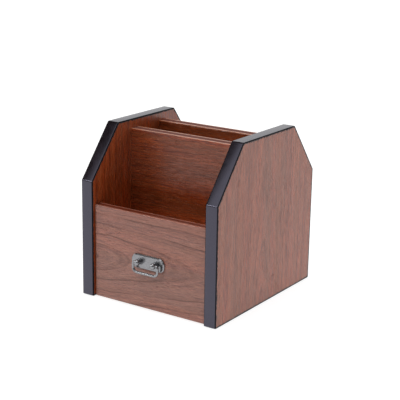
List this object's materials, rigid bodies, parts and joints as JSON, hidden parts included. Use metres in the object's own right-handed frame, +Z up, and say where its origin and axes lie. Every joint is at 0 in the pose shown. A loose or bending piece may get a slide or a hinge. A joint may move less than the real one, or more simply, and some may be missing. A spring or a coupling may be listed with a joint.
{
  "type": "pen stand with drawer",
  "caption": "Desk pen stand with chamfered wooden side panels edged in black, open-topped compartments between dividers, and a drawer below whose tall front carries a bail pull.",
  "frame": {"origin": "on the table, in the middle of the case's footprint; the pull and the open drawer reach further forward than the case", "axes": "+Z up, -Y to the front (the side of the drawer), +X to the right of someone facing the front"},
  "size_m": [0.145, 0.168, 0.1555],
  "materials": {
    "wood_laminate": "satin reddish-brown walnut laminate, grain upright on the side panels and level on the boards",
    "black_edging": "satin black edge band with softened corners",
    "drawer_plywood": "sanded pale plywood with a thin clear coat",
    "beech_dowel": "bare beech",
    "nickel_plate": "bright nickel plate",
    "plain_steel": "zinc-plated steel"
  },
  "bodies": {
    "case": {"left_side_panel": "wood_laminate", "right_side_panel": "wood_laminate", "left_edge_band": "black_edging", "right_edge_band": "black_edging", "base_board": "wood_laminate", "compartment_floor": "wood_laminate", "compartment_front_wall": "wood_laminate", "front_divider": "wood_laminate", "rear_divider": "wood_laminate", "back_panel": "wood_laminate", "left_case_dowels": "beech_dowel", "right_case_dowels": "beech_dowel"},
    "drawer": {"drawer_front": "wood_laminate", "drawer_left_side": "drawer_plywood", "drawer_right_side": "drawer_plywood", "drawer_back": "drawer_plywood", "drawer_bottom": "drawer_plywood", "drawer_front_dowels": "beech_dowel", "drawer_brads": "plain_steel", "pull_backplate": "nickel_plate", "pull_left_post": "nickel_plate", "pull_right_post": "nickel_plate", "pull_washers": "plain_steel", "pull_nuts": "plain_steel"},
    "bail": {"pull_bail": "nickel_plate"}
  },
  "joints": [
    {"name": "drawer_slide", "type": "slide", "parent": "case", "child": "drawer", "axis": [0, -1, 0], "range_m": [0, 0.105]},
    {"name": "bail_swing", "type": "hinge", "parent": "drawer", "child": "bail", "pos_m": [0, -0.0836, 0.044], "axis": [-1, 0, 0], "range_deg": [-10, 165]}
  ]
}
